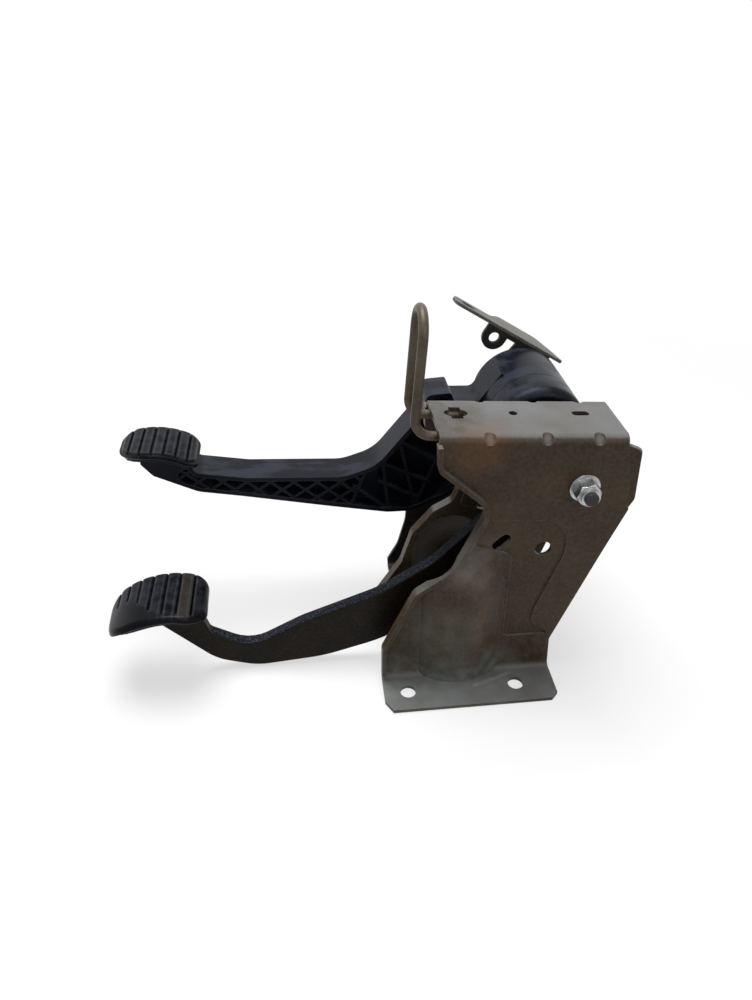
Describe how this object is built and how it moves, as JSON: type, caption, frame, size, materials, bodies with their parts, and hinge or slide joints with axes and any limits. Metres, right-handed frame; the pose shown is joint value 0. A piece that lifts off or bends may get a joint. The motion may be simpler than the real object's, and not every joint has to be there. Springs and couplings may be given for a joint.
{
  "type": "pedal box",
  "caption": "Pedal box: stamped channel bracket carrying a steel brake pedal and a ribbed moulded clutch pedal, each on its own pivot, with a wire loop and a sloping top plate.",
  "frame": {"origin": "centre of the four firewall bolt holes, on the firewall face", "axes": "+X up the firewall (along the pedal arms' length), +Y from brake to clutch pedal, +Z away from the firewall"},
  "size_m": [0.3168, 0.1655, 0.2446],
  "materials": {
    "bracket_steel": "worn satin olive-brown coat on pressed steel",
    "grey_steel": "satin grey coat on pressed steel",
    "loop_steel": "satin brown-grey drawn rod",
    "black_steel": "black electrocoat, satin",
    "dark_bolt": "dark phosphated steel",
    "zinc": "bright zinc plate",
    "bright_steel": "turned steel",
    "bush_plastic": "natural nylon",
    "black_plastic": "glass-filled black nylon, satin",
    "rubber": "black rubber, polished by wear"
  },
  "bodies": {
    "bracket": {"main_bracket": "bracket_steel", "wire_loop": "loop_steel", "brake_pivot_bolt": "dark_bolt", "brake_pivot_nut": "zinc", "brake_spacer": "bright_steel", "clutch_bracket": "bracket_steel", "cowl_plate": "grey_steel", "clutch_pivot_pin": "bright_steel", "pin_clip": "dark_bolt", "thrust_washer": "bush_plastic", "drum_cap": "black_plastic", "return_spring": "dark_bolt"},
    "brake_pedal": {"brake_bushes": "bush_plastic", "brake_hub_tube": "black_steel", "brake_arm": "black_steel", "brake_pad_plate": "black_steel", "brake_pad": "rubber"},
    "clutch_pedal": {"clutch_arm": "black_plastic", "hub_sleeve": "bright_steel", "clutch_pad": "rubber"}
  },
  "joints": [
    {"name": "brake_pivot", "type": "hinge", "parent": "bracket", "child": "brake_pedal", "pos_m": [0.0643, 0, 0.1427], "axis": [0, -1, 0], "range_deg": [-16, 0]},
    {"name": "clutch_pivot", "type": "hinge", "parent": "bracket", "child": "clutch_pedal", "pos_m": [0.0525, 0.07, 0.149], "axis": [0, -1, 0], "range_deg": [0, 26], "stiffness_Nm_per_rad": 3, "springref_deg": -28.65}
  ]
}
